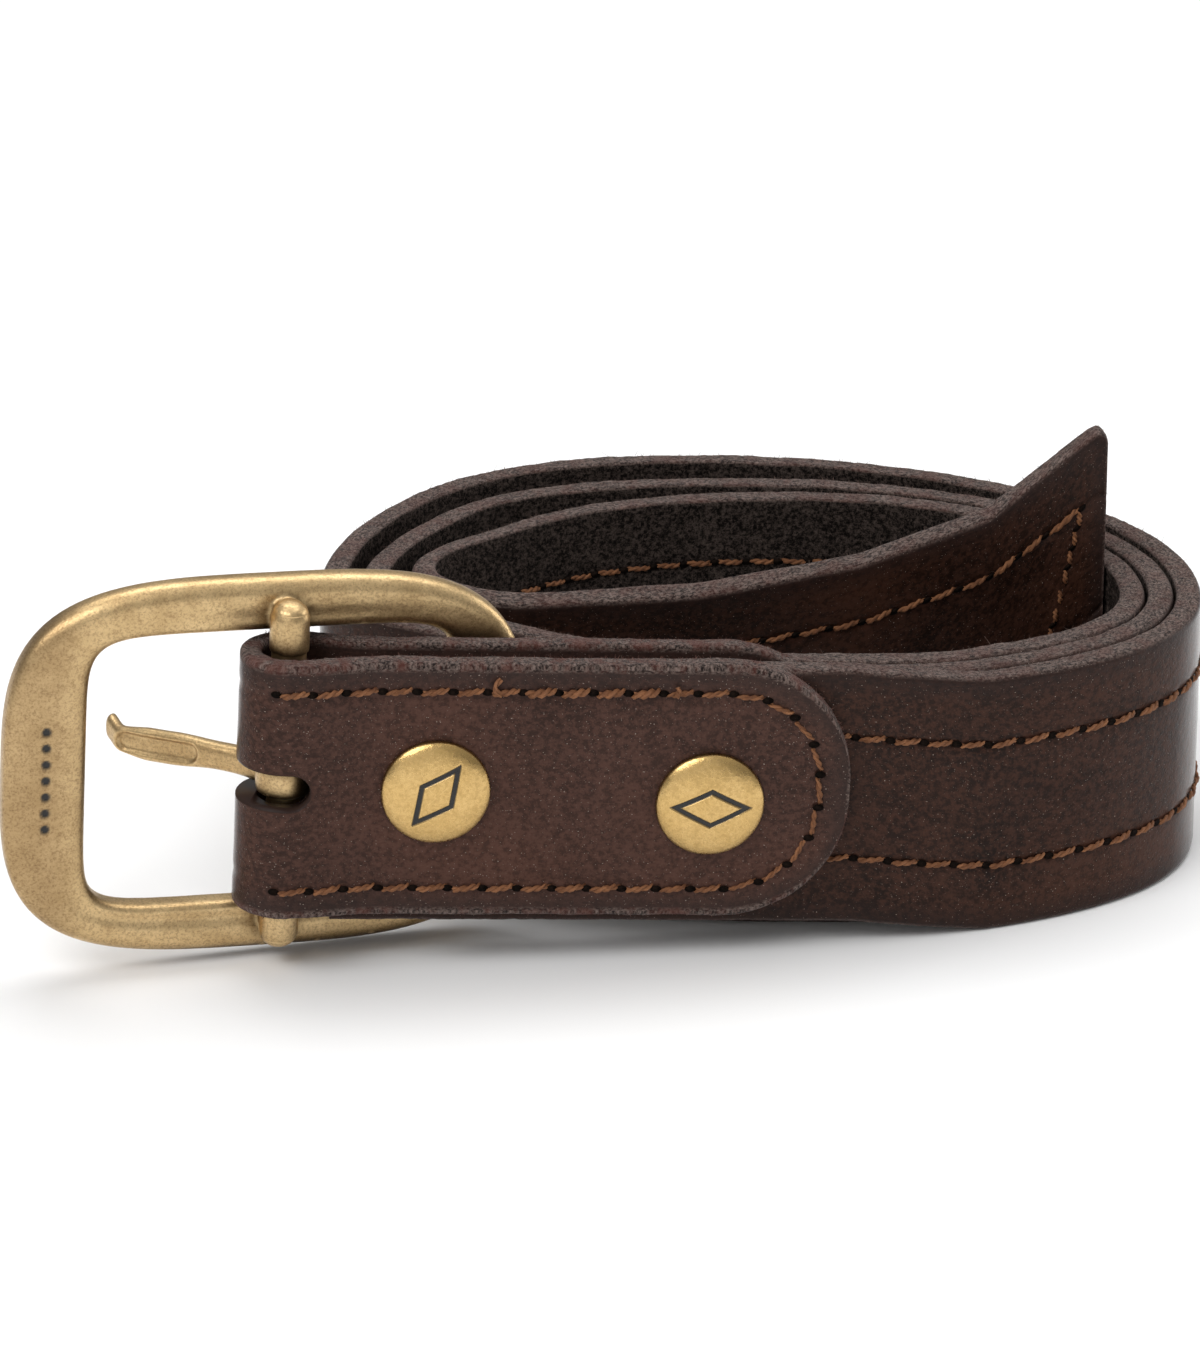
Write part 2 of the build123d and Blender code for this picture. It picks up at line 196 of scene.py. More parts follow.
# ---------------------------------------------------------------- the tab's own frame

cos_yaw, sin_yaw = turned(TAB_YAW)
cos_tilt, sin_tilt = turned(TAB_TILT)
cos_lean, sin_lean = turned(TAB_LEAN)
tab_x = Vector((cos_yaw * cos_tilt, sin_yaw * cos_tilt, -sin_tilt))
flat_front = Vector((sin_yaw, -cos_yaw, 0.0))
tab_front = flat_front * cos_lean - flat_front.cross(tab_x) * sin_lean
tab_up = tab_front.cross(tab_x)


def on_tab(x, y, z):
    """A point x along the tab from the bar, y up its width and z to its front."""
    return BAR + tab_x * x + tab_up * y + tab_front * z


def about_bar(degrees):
    """Turns tab coordinates about the bar, then gives the point as on_tab does."""
    cos_d, sin_d = turned(degrees)
    return lambda x, y, z: on_tab(x * cos_d + z * sin_d, y, z * cos_d - x * sin_d)


def from_bar(degrees):
    """The way back: from a point to the coordinates that about_bar starts from."""
    cos_d, sin_d = turned(degrees)

    def locate(point):
        away = point - BAR
        x, y, z = (away.dot(way) for way in (tab_x, tab_up, tab_front))
        return x * cos_d - z * sin_d, y, x * sin_d + z * cos_d
    return locate


on_frame = about_bar(FRAME_TURN - TAB_YAW)
frame_place = from_bar(FRAME_TURN - TAB_YAW)
on_prong = about_bar(-PRONG_TURN - TAB_YAW)
prong_place = from_bar(-PRONG_TURN - TAB_YAW)


# ---------------------------------------------------------------- the strap's path

def stretch(start, end, share):
    """One point between two stations: position, heading, lift and lean."""
    chord = math.hypot(end[0] - start[0], end[1] - start[1])
    turn = math.radians(end[2] - start[2])
    reach = chord * (1 + turn ** 2 / 16)
    heads = [turned(station[2]) for station in (start, end)]
    t = share
    weights = (2 * t ** 3 - 3 * t ** 2 + 1, t ** 3 - 2 * t ** 2 + t, 3 * t ** 2 - 2 * t ** 3, t ** 3 - t ** 2)
    slopes = (6 * t ** 2 - 6 * t, 3 * t ** 2 - 4 * t + 1, 6 * t - 6 * t ** 2, 3 * t ** 2 - 2 * t)
    x, y, dx, dy = (
        w[0] * start[i] + w[1] * reach * heads[0][i] + w[2] * end[i] + w[3] * reach * heads[1][i]
        for w in (weights, slopes) for i in (0, 1))
    lift, lean = (start[i] + (end[i] - start[i]) * t for i in (3, 4))
    return x, y, math.atan2(dy, dx), lift, lean


def in_tab(x):
    """Station on the tab's middle plane, for the flat end of the strap."""
    rise = BAR.z - math.tan(math.radians(TAB_TILT)) * (x - BAR.x) - STRAP_DROP
    y = BAR.y - (tab_front.x * (x - BAR.x) + tab_front.z * (rise - BAR.z)) / tab_front.y
    return x, y, TAB_YAW, rise - STRAP_WIDTH / 2, TAB_LEAN


def strap_frame(point):
    """Middle of the strap's section with its outward and upward directions."""
    x, y, heading, lift, lean = point
    out = Vector((math.sin(heading), -math.cos(heading), 0.0))
    cos_l, sin_l = turned(lean)
    up = Vector((0.0, 0.0, cos_l)) + out * sin_l
    across = out * cos_l - Vector((0.0, 0.0, sin_l))
    return Vector((x, y, lift + STRAP_WIDTH / 2)), across, up


class Strap:
    """The strap's frames by length from the end inside the tab."""

    def __init__(self):
        rows = [in_tab(STRAP_END_X), in_tab(BEND_START_X)] + ROLL
        self.points = [strap_frame(stretch(rows[0], rows[1], 0.0))]
        for start, end in zip(rows, rows[1:]):
            count = math.ceil(math.dist(start[:2], end[:2]) / RING_STEP)
            self.points += [strap_frame(stretch(start, end, k / count)) for k in range(1, count + 1)]
        self.lengths = [0.0]
        for here, after in zip(self.points, self.points[1:]):
            self.lengths.append(self.lengths[-1] + (after[0] - here[0]).length)
        self.total = self.lengths[-1]

    def at(self, length):
        """Middle, outward and upward directions at a length along the strap."""
        low, high = 0, len(self.lengths) - 2
        while low < high:
            mid = (low + high + 1) // 2
            if self.lengths[mid] <= length:
                low = mid
            else:
                high = mid - 1
        share = (length - self.lengths[low]) / (self.lengths[low + 1] - self.lengths[low])
        return [a.lerp(b, share) for a, b in zip(self.points[low], self.points[low + 1])]

    def surface(self, length, v, side, height=0.0):
        """Point on the grain face, side 1, or the flesh face, side -1."""
        middle, out, up = self.at(length)
        return middle + up * v + out * side * (STRAP_THICK / 2 + height)


strap = Strap()


# ---------------------------------------------------------------- meshes

def new_piece(name, points, faces, body, material, replaced=(), values=None, vectors=None):
    """A mesh piece that rides on a body, from points in millimetres."""
    mesh = bpy.data.meshes.new(name)
    mesh.from_pydata([place(p) for p in points], [], faces)
    for label, numbers in (values or {}).items():
        mesh.attributes.new(label, "FLOAT", "POINT").data.foreach_set("value", numbers)
    for label, triples in (vectors or {}).items():
        flat = [number for triple in triples for number in triple]
        mesh.attributes.new(label, "FLOAT_VECTOR", "POINT").data.foreach_set("vector", flat)
    mesh.validate()
    piece = bpy.data.objects.new(name, mesh)
    scene.collection.objects.link(piece)
    mesh.materials.append(material)
    mesh.shade_smooth()
    outward(mesh)
    if body:
        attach(piece, body)
    if replaced:
        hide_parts(*replaced)
    return piece


def outward(mesh):
    """Faces turned to the outside."""
    shape = bmesh.new()
    shape.from_mesh(mesh)
    bmesh.ops.recalc_face_normals(shape, faces=shape.faces)
    shape.to_mesh(mesh)
    shape.free()


def tube_faces(rings, sides, first=0, closed=False):
    """Quads between rings of points, with capped ends unless the tube is closed."""
    faces = []
    for i in range(rings if closed else rings - 1):
        here, after = first + i * sides, first + (i + 1) % rings * sides
        faces += [(here + k, here + (k + 1) % sides, after + (k + 1) % sides, after + k)
                  for k in range(sides)]
    if not closed:
        faces.append(tuple(first + k for k in range(sides)))
        faces.append(tuple(first + (rings - 1) * sides + k for k in range(sides)))
    return faces


def apply_modifiers(piece):
    """Bakes the piece's modifiers into its mesh."""
    graph = bpy.context.evaluated_depsgraph_get()
    mesh = bpy.data.meshes.new_from_object(piece.evaluated_get(graph))
    piece.modifiers.clear()
    piece.data = mesh
    mesh.shade_smooth()


def cut(piece, name, points, faces):
    """Takes a closed shape out of the piece; the cut walls count as raw edge."""
    count = len(points)
    tool = new_piece(name, points, faces, None, piece.data.materials[0],
                     values={"edge": [1.0] * count, "inset": [0.0] * count, "flesh": [0.0] * count},
                     vectors={"strip": [tuple(p) for p in points]})
    knife = piece.modifiers.new("cut", "BOOLEAN")
    knife.operation = "DIFFERENCE"
    knife.solver = "EXACT"
    knife.object = tool
    apply_modifiers(piece)
    bpy.data.objects.remove(tool)


def rod(start, end, radius, sides=28):
    """Points and faces of a straight round rod."""
    along = (end - start).normalized()
    side = along.orthogonal().normalized()
    other = along.cross(side)
    points = []
    for centre in (start, end):
        for k in range(sides):
            cos_a, sin_a = turned(360 * k / sides)
            points.append(centre + side * cos_a * radius + other * sin_a * radius)
    return points, tube_faces(2, sides)


# ---------------------------------------------------------------- materials

class Shader:
    """A material and short calls for its nodes."""

    def __init__(self, name):
        self.material = bpy.data.materials.new(name)
        self.material.use_nodes = True
        self.tree = self.material.node_tree
        self.surface = self.tree.nodes["Principled BSDF"]

    def node(self, kind, inputs=None, **settings):
        made = self.tree.nodes.new(kind)
        for label, value in settings.items():
            setattr(made, label, value)
        for label, value in (inputs or {}).items():
            self.feed(made.inputs[label], value)
        return made

    def feed(self, socket, value):
        if isinstance(value, bpy.types.NodeSocket):
            self.tree.links.new(value, socket)
        else:
            socket.default_value = value

    def finish(self, **inputs):
        for label, value in inputs.items():
            self.feed(self.surface.inputs[label.replace("_", " ")], value)
        return self.material

    def attribute(self, name, output="Vector"):
        return self.node("ShaderNodeAttribute", attribute_name=name).outputs[output]

    def stretched(self, vector, scale):
        return self.node("ShaderNodeVectorMath", {0: vector, 1: scale}, operation="MULTIPLY").outputs[0]

    def noise(self, vector, scale, detail=3.0, roughness=0.5):
        made = self.node("ShaderNodeTexNoise", {"Vector": vector, "Scale": scale, "Detail": detail,
                                                "Roughness": roughness})
        return made.outputs["Fac"]

    def cells(self, vector, scale):
        made = self.node("ShaderNodeTexVoronoi", {"Vector": vector, "Scale": scale})
        return made.outputs["Distance"]

    def ramp(self, value, *stops):
        """Stops are (position, level) or (position, colour)."""
        made = self.node("ShaderNodeValToRGB", {"Fac": value})
        marks = made.color_ramp.elements
        while len(marks) < len(stops):
            marks.new(0.5)
        for mark, (position, level) in zip(marks, stops):
            mark.position = position
            mark.color = (*level, 1.0) if isinstance(level, tuple) else (level, level, level, 1.0)
        return made.outputs["Color"]

    def math(self, operation, first, second=0.0):
        return self.node("ShaderNodeMath", {0: first, 1: second}, operation=operation).outputs[0]

    def mix(self, share, first, second, blend="MIX"):
        made = self.node("ShaderNodeMix", data_type="RGBA", blend_type=blend)
        for socket, value in zip((made.inputs[0], made.inputs[6], made.inputs[7]), (share, first, second)):
            self.feed(socket, (*value, 1.0) if isinstance(value, tuple) else value)
        return made.outputs[2]

    def bump(self, height, distance, strength=1.0, normal=None):
        made = self.node("ShaderNodeBump", {"Height": height, "Distance": distance * MM,
                                            "Strength": strength})
        if normal:
            self.feed(made.inputs["Normal"], normal)
        return made.outputs["Normal"]


def leather(name, dark, mid, warm, margin, redness):
    """Full-grain face, fuzzy flesh side and raw edges, chosen by the mesh's attributes."""
    s = Shader(name)
    strip = s.attribute("strip")
    edge = s.attribute("edge", "Fac")
    flesh = s.attribute("flesh", "Fac")
    inset = s.attribute("inset", "Fac")

    cloud = s.noise(strip, 0.05, 4.0, 0.6)
    grain = s.mix(s.ramp(cloud, (0.36, 0.0), (0.64, 1.0)), dark, mid)
    grain = s.mix(s.ramp(s.noise(strip, 0.028, 2.0), (0.5, 0.0), (0.72, 0.75)), grain, warm)
    mottle = s.noise(strip, 1.3, 5.0, 0.65)
    grain = s.mix(s.ramp(mottle, (0.44, 0.0), (0.62, 0.55)), grain, tuple(1.9 * c for c in mid))
    grain = s.mix(s.ramp(mottle, (0.38, 0.5), (0.5, 0.0)), grain, tuple(0.6 * c for c in dark))
    rim = s.ramp(s.math("DIVIDE", inset, 10.0), (0.05, 1.0), (0.42, 0.0))
    grain = s.mix(s.math("MULTIPLY", rim, 0.75), grain, margin)
    speck = s.ramp(s.noise(strip, 4.4, 1.0), (0.72, 0.0), (0.77, 1.0))
    scratch_at = s.stretched(strip, (0.25, 2.2, 1.0))
    scratch = s.ramp(s.noise(scratch_at, 1.6, 3.0, 0.7), (0.62, 0.0), (0.74, 0.5))
    grain = s.mix(speck, grain, (0.34, 0.27, 0.23))
    grain = s.mix(scratch, grain, tuple(2.2 * c for c in mid))

    nap = s.noise(strip, 1.9, 6.0, 0.8)
    nap_colour = s.mix(s.ramp(nap, (0.44, 0.0), (0.61, 1.0)), (0.003, 0.0022, 0.0018), (0.1, 0.076, 0.065))
    fibre = s.noise(s.stretched(strip, (0.8, 1.2, 1.2)), 2.4, 5.0, 0.75)
    raw = s.mix(s.ramp(fibre, (0.42, 0.0), (0.62, 1.0)), (0.014, 0.008, 0.007), (0.24, 0.175, 0.15))
    red = s.ramp(s.noise(strip, 0.3, 4.0, 0.7), (0.46, 0.0), (0.62, redness))
    raw = s.mix(red, raw, (0.11, 0.036, 0.026))

    colour = s.mix(flesh, grain, nap_colour)
    colour = s.mix(edge, colour, raw)

    soft = s.math("MAXIMUM", flesh, edge)
    roughness = s.mix(soft, s.ramp(mottle, (0.2, 0.36), (0.8, 0.52)), (0.85, 0.85, 0.85))
    pores = s.ramp(s.cells(strip, 1.9), (0.0, 0.0), (0.34, 1.0))
    crease = s.noise(s.stretched(strip, (0.8, 1.0, 1.0)), 0.7, 6.0, 0.62)
    bumped = s.bump(pores, 0.07, 0.55)
    bumped = s.bump(crease, 0.4, 0.5, bumped)
    rough_bump = s.bump(s.noise(strip, 2.6, 6.0, 0.8), 0.5, 0.9)
    normal = s.mix(soft, bumped, rough_bump)
    facing = s.node("ShaderNodeLayerWeight").outputs["Facing"]
    wax = s.math("MULTIPLY", s.ramp(facing, (0.6, 0.0), (0.92, 0.95)), s.math("SUBTRACT", 1.0, soft))
    specular = s.mix(soft, (0.13, 0.13, 0.13), (0.06, 0.06, 0.06))
    return s.finish(Base_Color=colour, Roughness=roughness, Normal=normal, Coat_Weight=wax,
                    Coat_Roughness=0.22, Specular_IOR_Level=specular,
                    Sheen_Weight=s.math("MULTIPLY", edge, 0.1), Sheen_Roughness=0.5)


def thread_material():
    s = Shader("waxed_thread")
    strand = s.attribute("strand")
    tone = s.noise(strand, 0.35, 3.0)
    colour = s.mix(s.ramp(tone, (0.3, 0.0), (0.7, 1.0)), (0.15, 0.057, 0.023), (0.38, 0.165, 0.07))
    fine = s.noise(s.stretched(strand, (0.6, 5.0, 5.0)), 2.2, 4.0, 0.7)
    colour = s.mix(s.ramp(fine, (0.35, 0.6), (0.6, 0.0)), colour, (0.07, 0.022, 0.009))
    return s.finish(Base_Color=colour, Roughness=0.62, Normal=s.bump(fine, 0.12, 0.8),
                    Specular_IOR_Level=0.3)


def fibre_material(name, dark, light):
    s = Shader(name)
    tone = s.noise(s.attribute("strand"), 0.9, 1.0)
    return s.finish(Base_Color=s.mix(s.ramp(tone, (0.35, 0.0), (0.65, 1.0)), dark, light), Roughness=0.9,
                    Specular_IOR_Level=0.05)


def brass(name, light, mid, dark, grain, roughness):
    """Metal with a worn face, colour darkened in the hollows that ambient occlusion finds, and a fine grain.
    """
    s = Shader(name)
    local = s.attribute("local")
    patch = s.noise(local, 0.16, 5.0, 0.65)
    sand = s.noise(local, grain, 4.0, 0.75)
    colour = s.mix(s.ramp(patch, (0.35, 0.0), (0.65, 1.0)), mid, light)
    stain = s.ramp(sand, (0.36, 0.55), (0.54, 0.0))
    colour = s.mix(stain, colour, dark)
    # darker towards the hollows, where the ambient occlusion is low
    shut_in = s.node("ShaderNodeAmbientOcclusion", {"Distance": 3.0 * MM}, samples=8).outputs["AO"]
    hollow = s.ramp(shut_in, (0.4, 1.0), (0.93, 0.0))
    crest = s.ramp(s.node("ShaderNodeNewGeometry").outputs["Pointiness"], (0.515, 0.0), (0.56, 0.8))
    colour = s.mix(s.math("MULTIPLY", hollow, 0.85), colour, tuple(0.3 * c for c in dark))
    colour = s.mix(crest, colour, light)
    # painted dark reflection: the frame's left side is painted darker, as where it mirrors a dark
    # surrounding, and so is the prong's tip beside it
    across = s.node("ShaderNodeSeparateXYZ", {0: local}).outputs["X"]
    painted_reflection_mask = s.ramp(s.math("DIVIDE", across, -FRAME_LEFT), (0.68, 0.0), (0.82, 1.0))
    colour = s.mix(painted_reflection_mask, colour, PAINTED_REFLECTION_TINT, blend="MULTIPLY")
    ink = s.attribute("ink", "Fac")
    colour = s.mix(ink, colour, (0.006, 0.005, 0.004))
    gloss = s.ramp(sand, (0.3, roughness + 0.14), (0.7, roughness - 0.04))
    bumped = s.bump(sand, 0.09, 0.5)
    bumped = s.bump(s.noise(local, 0.5, 3.0), 0.25, 0.35, bumped)
    return s.finish(Base_Color=colour, Metallic=s.math("SUBTRACT", 1.0, ink), Roughness=gloss,
                    Normal=bumped)


STRAP_LEATHER = leather("strap_leather", (0.013, 0.0055, 0.0035), (0.037, 0.0155, 0.0098),
                        (0.062, 0.023, 0.012), (0.02, 0.012, 0.0105), 0.35)
TAB_LEATHER = leather("tab_leather", (0.034, 0.0155, 0.011), (0.051, 0.024, 0.0175),
                      (0.072, 0.03, 0.0195), (0.025, 0.016, 0.014), 0.7)
THREAD = thread_material()
STRAP_FIBRE = fibre_material("strap_fibre", (0.03, 0.019, 0.016), (0.26, 0.185, 0.155))
TAB_FIBRE = fibre_material("tab_fibre", (0.05, 0.02, 0.016), (0.26, 0.145, 0.12))
# painted shade: near-black colour for the inside of the awl holes
AWL_HOLE_SHADE = fibre_material("awl_hole_shade", (0.006, 0.004, 0.003), (0.012, 0.007, 0.005))
CAST_BRASS = brass("antique_brass", (0.72, 0.525, 0.275), (0.55, 0.385, 0.19), (0.24, 0.14, 0.065), 2.6, 0.33)
SATIN_BRASS = brass("satin_brass", (0.68, 0.46, 0.19), (0.6, 0.395, 0.15), (0.44, 0.28, 0.1), 1.7, 0.24)


# ---------------------------------------------------------------- strap

def strap_outline():
    """Points round the strap's section: across, up the width, and how far each is edge or flesh."""
    half, face = STRAP_WIDTH / 2, STRAP_THICK / 2
    grain_round, flesh_round = 0.95, 0.6
    ups = [-17.9, -16.0, -14.0, -12.0, -10.6]
    ups += [-ROW_OFFSET + k for k in (-0.75, -0.4, 0.0, 0.4, 0.75)]
    ups += [-7.4, -5.0, -2.5, 0.0]
    ups += [-v for v in reversed(ups[:-1])]
    outline = [(face, v, 0.0, 0.0) for v in ups]
    for angle in (15, 40, 65, 85):
        cos_a, sin_a = turned(angle)
        outline.append((face - grain_round + grain_round * cos_a, half - grain_round + grain_round * sin_a,
                        smooth(20, 70, angle), 0.0))
    outline += [(u, half, 1.0, 0.0) for u in (0.5, 0.0, -0.5, -0.9)]
    for angle in (110, 140, 170):
        cos_a, sin_a = turned(angle)
        outline.append((-face + flesh_round + flesh_round * cos_a, half - flesh_round + flesh_round * sin_a,
                        1.0 - smooth(120, 170, angle), smooth(120, 170, angle)))
    outline += [(-face, v, 0.0, 1.0) for v in reversed(ups)]
    corners = [p for p in outline if abs(p[1]) > 17.95]
    return outline + [(u, -v, e, f) for u, v, e, f in reversed(corners)]


def strap_rings():
    """Lengths of the strap's rings, closer at the tip."""
    ends = [0.1, 0.3, 0.6, 1.0, 1.5, 2.2, 3.0, 3.8]
    stop = strap.total - ends[-1] - RING_STEP
    count = math.floor(stop / RING_STEP)
    return [stop * k / count for k in range(count + 1)] + [strap.total - e for e in reversed(ends)]


def row_dip(length, v):
    """Depth of the stitch row's hollow, deeper at each awl hole."""
    beside = abs(abs(v) - ROW_OFFSET)
    if beside > 0.8 or length < ROW_START:
        return 0.0
    from_hole = abs((length - ROW_START + STITCH_PITCH / 2) % STITCH_PITCH - STITCH_PITCH / 2)
    return (1 - beside / 0.8) * (0.14 + 0.3 * math.exp(-(from_hole / 0.9) ** 2))


def corner_cut(left, radius):
    """How far a rounded corner draws the edge in, a distance left before the tip."""
    return radius - math.sqrt(max(radius ** 2 - max(radius - left, 0.0) ** 2, 0.0))


def make_strap():
    outline = strap_outline()
    points, strips, edges, fleshes, insets = [], [], [], [], []
    for length in strap_rings():
        middle, out, up = strap.at(length)
        left = strap.total - length
        widths = [1 - corner_cut(left, radius) / (STRAP_WIDTH / 2) for radius in TIP_CORNERS]
        for u, v, edge, flesh in outline:
            spot = (length, v, u)
            bulge = 0.07 * rough(spot, 0.12) + (0.1 * flesh + 0.02) * rough(spot, 1.2)
            trim = 0.16 * rough(spot, 0.16, 9.0) + 0.13 * edge * rough(spot, 1.5)
            if v < 0:
                trim = min(trim, 0.0)
            deep = row_dip(length, v) if edge == 0.0 else 0.0
            side = 1 if u > 0 else -1
            thin = u - side * deep + side * bulge * (1 - edge)
            grow = v * widths[v > 0] + (1 if v > 0 else -1) * trim * smooth(14, 19, abs(v))
            points.append(middle + out * thin + up * grow)
            strips.append(spot)
            edges.append(max(edge, 1 - smooth(0.0, 0.5, left)))
            fleshes.append(flesh)
            insets.append(min(STRAP_WIDTH / 2 - abs(v), left))
    rings = len(points) // len(outline)
    piece = new_piece("strap_leather", points, tube_faces(rings, len(outline)), "belt",
                      STRAP_LEATHER, ("strap",), {"edge": edges, "flesh": fleshes, "inset": insets},
                      {"strip": strips})
    holes, faces = [], []
    for k in range(HOLE_COUNT):
        middle, out, up = strap.at(strap.total - FIRST_HOLE - k * HOLE_PITCH)
        more, sides = rod(middle - out * 3.2, middle + out * 3.2, HOLE_DIAMETER / 2)
        faces += [tuple(len(holes) + i for i in face) for face in sides]
        holes += more
    cut(piece, "prong_holes", holes, faces)


# ---------------------------------------------------------------- stitches

class Thread:
    """Two-ply stitches and the awl holes they run between."""

    RINGS = 9
    SIDES = 6
    HOLE_RADIUS = 0.8
    HOLE_SIDES = 10

    def __init__(self):
        self.points, self.faces, self.strands = [], [], []
        self.holes, self.hole_faces = [], []
        self.pierced = set()

    def run(self, path, normal, radius, twist=1.6):
        """A twisted pair along path(share), share from 0 to 1."""
        phase = rng.uniform(0, 360)
        for ply in (0, 180):
            first = len(self.points)
            for i in range(self.RINGS):
                share = i / (self.RINGS - 1)
                here = path(share)
                along = (path(min(share + 0.04, 1)) - path(max(share - 0.04, 0))).normalized()
                side = along.cross(normal).normalized()
                lift = side.cross(along)
                cos_p, sin_p = turned(phase + ply + 360 * twist * share)
                centre = here + (side * cos_p + lift * sin_p) * radius * 0.78
                ply_radius = radius * (0.72 + 0.36 * math.sin(math.pi * share))
                for k in range(self.SIDES):
                    cos_a, sin_a = turned(360 * k / self.SIDES)
                    self.points.append(centre + (side * cos_a + lift * sin_a) * ply_radius)
                    self.strands.append((first * 0.37 + share * 5, cos_a, sin_a))
            self.faces += tube_faces(self.RINGS, self.SIDES, first)

    def stitch(self, surface, start, end, normal, radius):
        """One stitch between two places on a surface, each end sunk in its hole."""
        def path(share):
            spot = [a + (b - a) * (0.08 + 0.84 * share) for a, b in zip(start, end)]
            rise = math.sin(math.pi * share) ** 0.5
            return surface(*spot, -0.5 + rise * (0.5 + 0.75 * radius))
        self.run(path, normal, radius)

    def hole(self, surface, spot):
        """A closed cone with its point sunk in the surface, coloured near-black as painted shade of the awl
        hole.
        """
        first, sides, radius = len(self.holes), self.HOLE_SIDES, self.HOLE_RADIUS
        for k in range(sides):
            cos_a, sin_a = turned(360 * k / sides)
            self.holes.append(surface(spot[0] + radius * cos_a, spot[1] + 0.65 * radius * sin_a, 0.04))
        self.holes.append(surface(spot[0], spot[1], -0.25))
        self.hole_faces += [(first + k, first + (k + 1) % sides, first + sides) for k in range(sides)]
        self.hole_faces.append(tuple(first + k for k in range(sides)))

    def row(self, surface, spots, normal_at, sizes=None, slant=STITCH_SLANT):
        """Stitches between neighbouring spots, slanted as an awl leaves them."""
        for k, (start, end) in enumerate(zip(spots, spots[1:])):
            length = math.dist(start, end)
            across = (-(end[1] - start[1]) / length, (end[0] - start[0]) / length)
            low, high = ([spot[i] + way * slant * across[i] for i in (0, 1)]
                         for spot, way in ((start, -1), (end, 1)))
            middle = [(a + b) / 2 for a, b in zip(start, end)]
            size = sizes(*middle) if sizes else 1.0
            radius = STITCH_RADIUS * size * rng.uniform(0.93, 1.07)
            self.stitch(surface, low, high, normal_at(*middle), radius)
        for spot in spots:
            if spot not in self.pierced:
                self.hole(surface, spot)
                self.pierced.add(spot)

    def make(self, name, replaced):
        new_piece(name, self.points, self.faces, "belt", THREAD, replaced,
                  vectors={"strand": self.strands})
        # the awl holes as dark cones of painted shade
        if self.holes:
            new_piece(name + "_holes", self.holes, self.hole_faces, "belt", AWL_HOLE_SHADE,
                      vectors={"strand": [tuple(p) for p in self.holes]})


def strap_spots(v):
    """Awl holes along one row of the strap."""
    count = math.floor((strap.total - TIP_ROW[0] - ROW_START) / STITCH_PITCH)
    return [(ROW_START + k * STITCH_PITCH, v + 0.1 * rough((k, v, 0.0), 0.3)) for k in range(count)]


def tip_spots():
    """Awl holes of the slanted row across the tip."""
    start = (strap.total - TIP_ROW[0], ROW_OFFSET)
    end = (strap.total - TIP_ROW[1], -ROW_OFFSET)
    return [tuple(a + (b - a) * k / TIP_STITCHES for a, b in zip(start, end))
            for k in range(TIP_STITCHES + 1)]


def make_strap_threads():
    for side, face in ((1, "grain"), (-1, "flesh")):
        def surface(length, v, height):
            return strap.surface(min(length, strap.total), v, side, height)

        def normal_at(length, v):
            return strap.at(min(length, strap.total))[1] * side

        for v, row in ((ROW_OFFSET, "upper"), (-ROW_OFFSET, "lower")):
            thread = Thread()
            spots = strap_spots(v)
            corner = tip_spots()[0 if v > 0 else -1]
            spots = [spot for spot in spots if spot[0] < corner[0] - LAST_STITCH] + [corner]
            thread.row(surface, spots, normal_at, slant=STITCH_SLANT * (1 if side > 0 else 0.3))
            if row == "upper":
                thread.row(surface, tip_spots(), normal_at, lambda length, v: 0.85)
            thread.make(f"strap_stitches_{row}_{face}", (f"strap_thread_{row}_{face}",))


# ---------------------------------------------------------------- tab

def layer_height(x):
    """Middle of the front layer from the tab's middle plane."""
    return TAB_LAYER + (FOLD_RADIUS - TAB_LAYER) * smooth(0.0, FOLD_TAPER, FOLD_TAPER - x)


def half_width(x):
    """Half the tab's width, with rounded ends."""
    corner = TAB_LENGTH - TAB_END_RADIUS
    if x <= corner:
        return TAB_WIDTH / 2
    over = min(x - corner, TAB_END_RADIUS)
    return TAB_WIDTH / 2 - TAB_END_RADIUS + math.sqrt(TAB_END_RADIUS ** 2 - over ** 2)


def tab_path():
    """Middle line of the folded leather, from the front end round the bar to the back end."""
    corner = TAB_LENGTH - TAB_END_RADIUS
    curve = [corner + TAB_END_RADIUS * math.sin(math.radians(a)) for a in range(88, 0, -4)]
    straight = [corner - k * 0.75 for k in range(int(corner / 0.75) + 1)]
    front = [(x, layer_height(x)) for x in [TAB_LENGTH] + curve + straight]
    fold = []
    for angle in range(90, 271, 9):
        cos_a, sin_a = turned(angle)
        fold.append((FOLD_RADIUS * cos_a, FOLD_RADIUS * sin_a))
    return front + fold + [(x, -z) for x, z in reversed(front)]


def tab_outline():
    """Section of the tab's leather: share of the half width, inset of that side, height and edge."""
    half, rounding = TAB_THICK / 2, 0.75
    shares = [k / 24 for k in range(-24, 25)]
    outer = [(share, rounding, half, 0.0) for share in shares]
    side = []
    for angle in (65, 40, 15):
        cos_a, sin_a = turned(angle)
        inset, height = rounding - rounding * cos_a, half - rounding + rounding * sin_a
        side.append((1.0, inset, height, smooth(60, 20, angle)))
    side += [(1.0, 0.0, z, 1.0) for z in (0.35, -0.1, -0.55, -0.95)]
    side += [(1.0, 0.15, -half + 0.2, 1.0)]
    inner = [(-share, 0.4, -half, 0.0) for share in shares]
    mirrored = [(-share, inset, z, edge) for share, inset, z, edge in reversed(side)]
    return outer + side + inner + mirrored


